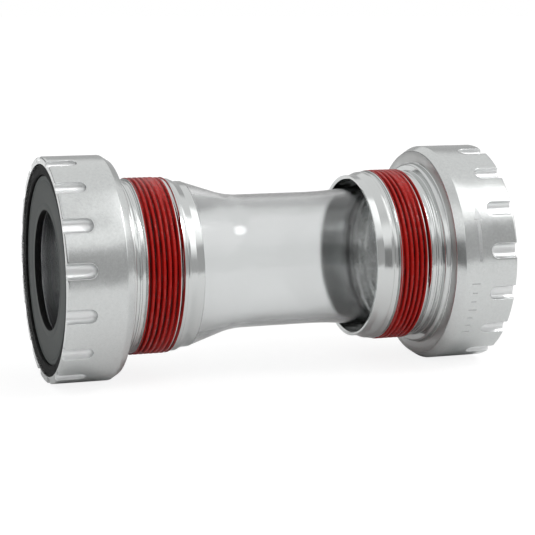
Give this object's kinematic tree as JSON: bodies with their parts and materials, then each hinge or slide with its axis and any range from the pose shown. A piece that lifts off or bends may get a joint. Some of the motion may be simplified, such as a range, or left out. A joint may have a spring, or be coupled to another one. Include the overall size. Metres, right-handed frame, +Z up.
{
  "type": "bottom bracket",
  "caption": "Threaded outboard-bearing bottom bracket: two notched cups with bearings and a clear sleeve between them for a through spindle.",
  "frame": {"origin": "on the spindle axis, half way between the outer faces of the two cups", "axes": "+X along the spindle axis towards the non-drive cup, +Z up, +Y away from the usual viewer"},
  "size_m": [0.0908, 0.044, 0.044],
  "materials": {
    "cup_alloy": "satin anodised, turned",
    "thread_compound": "dry red thread compound film",
    "bearing_steel": "ground",
    "cage_plastic": "moulded nylon",
    "seal_rubber": "satin rubber",
    "ring_plastic": "moulded black",
    "cover_plastic": "moulded dark grey, fine texture",
    "sleeve_plastic": "clear moulded plastic"
  },
  "bodies": {
    "drive_cup": {"drive_cup_shell": "cup_alloy", "drive_thread_coating": "thread_compound", "drive_outer_race": "bearing_steel", "drive_outboard_seal": "seal_rubber", "drive_inboard_seal": "seal_rubber", "drive_cover_ring": "ring_plastic", "drive_dust_cover": "cover_plastic", "drive_spindle_lip": "seal_rubber"},
    "drive_inner_race_body": {"drive_inner_race": "bearing_steel"},
    "drive_cage_body": {"drive_ball_cage": "cage_plastic", "drive_balls": "bearing_steel"},
    "sleeve": {"centre_sleeve": "sleeve_plastic", "drive_o_ring": "seal_rubber", "nondrive_o_ring": "seal_rubber"},
    "nondrive_cup": {"nondrive_cup_shell": "cup_alloy", "nondrive_thread_coating": "thread_compound", "nondrive_outer_race": "bearing_steel", "nondrive_outboard_seal": "seal_rubber", "nondrive_inboard_seal": "seal_rubber", "nondrive_cover_ring": "ring_plastic", "nondrive_dust_cover": "cover_plastic", "nondrive_spindle_lip": "seal_rubber"},
    "nondrive_inner_race_body": {"nondrive_inner_race": "bearing_steel"},
    "nondrive_cage_body": {"nondrive_ball_cage": "cage_plastic", "nondrive_balls": "bearing_steel"}
  },
  "joints": [
    {"name": "drive_race_spin", "type": "hinge", "parent": "drive_cup", "child": "drive_inner_race_body", "pos_m": [-0.03985, 0, 0], "axis": [1, 0, 0], "continuous": true},
    {"name": "drive_cage_spin", "type": "hinge", "parent": "drive_cup", "child": "drive_cage_body", "pos_m": [-0.03985, 0, 0], "axis": [1, 0, 0], "continuous": true},
    {"name": "nondrive_race_spin", "type": "hinge", "parent": "nondrive_cup", "child": "nondrive_inner_race_body", "pos_m": [0.03985, 0, 0], "axis": [1, 0, 0], "continuous": true},
    {"name": "nondrive_cage_spin", "type": "hinge", "parent": "nondrive_cup", "child": "nondrive_cage_body", "pos_m": [0.03985, 0, 0], "axis": [1, 0, 0], "continuous": true},
    {"name": "sleeve_turn", "type": "hinge", "parent": "drive_cup", "child": "sleeve", "pos_m": [-0.02105, 0, 0], "axis": [1, 0, 0], "continuous": true},
    {"name": "nondrive_cup_slide", "type": "slide", "parent": "sleeve", "child": "nondrive_cup", "axis": [1, 0, 0], "range_m": [-0.0004, 0.0052]}
  ],
  "couplings": [
    {"joint": "drive_cage_spin", "follows": "drive_race_spin", "ratio": 0.44262},
    {"joint": "nondrive_cage_spin", "follows": "nondrive_race_spin", "ratio": 0.44262}
  ]
}
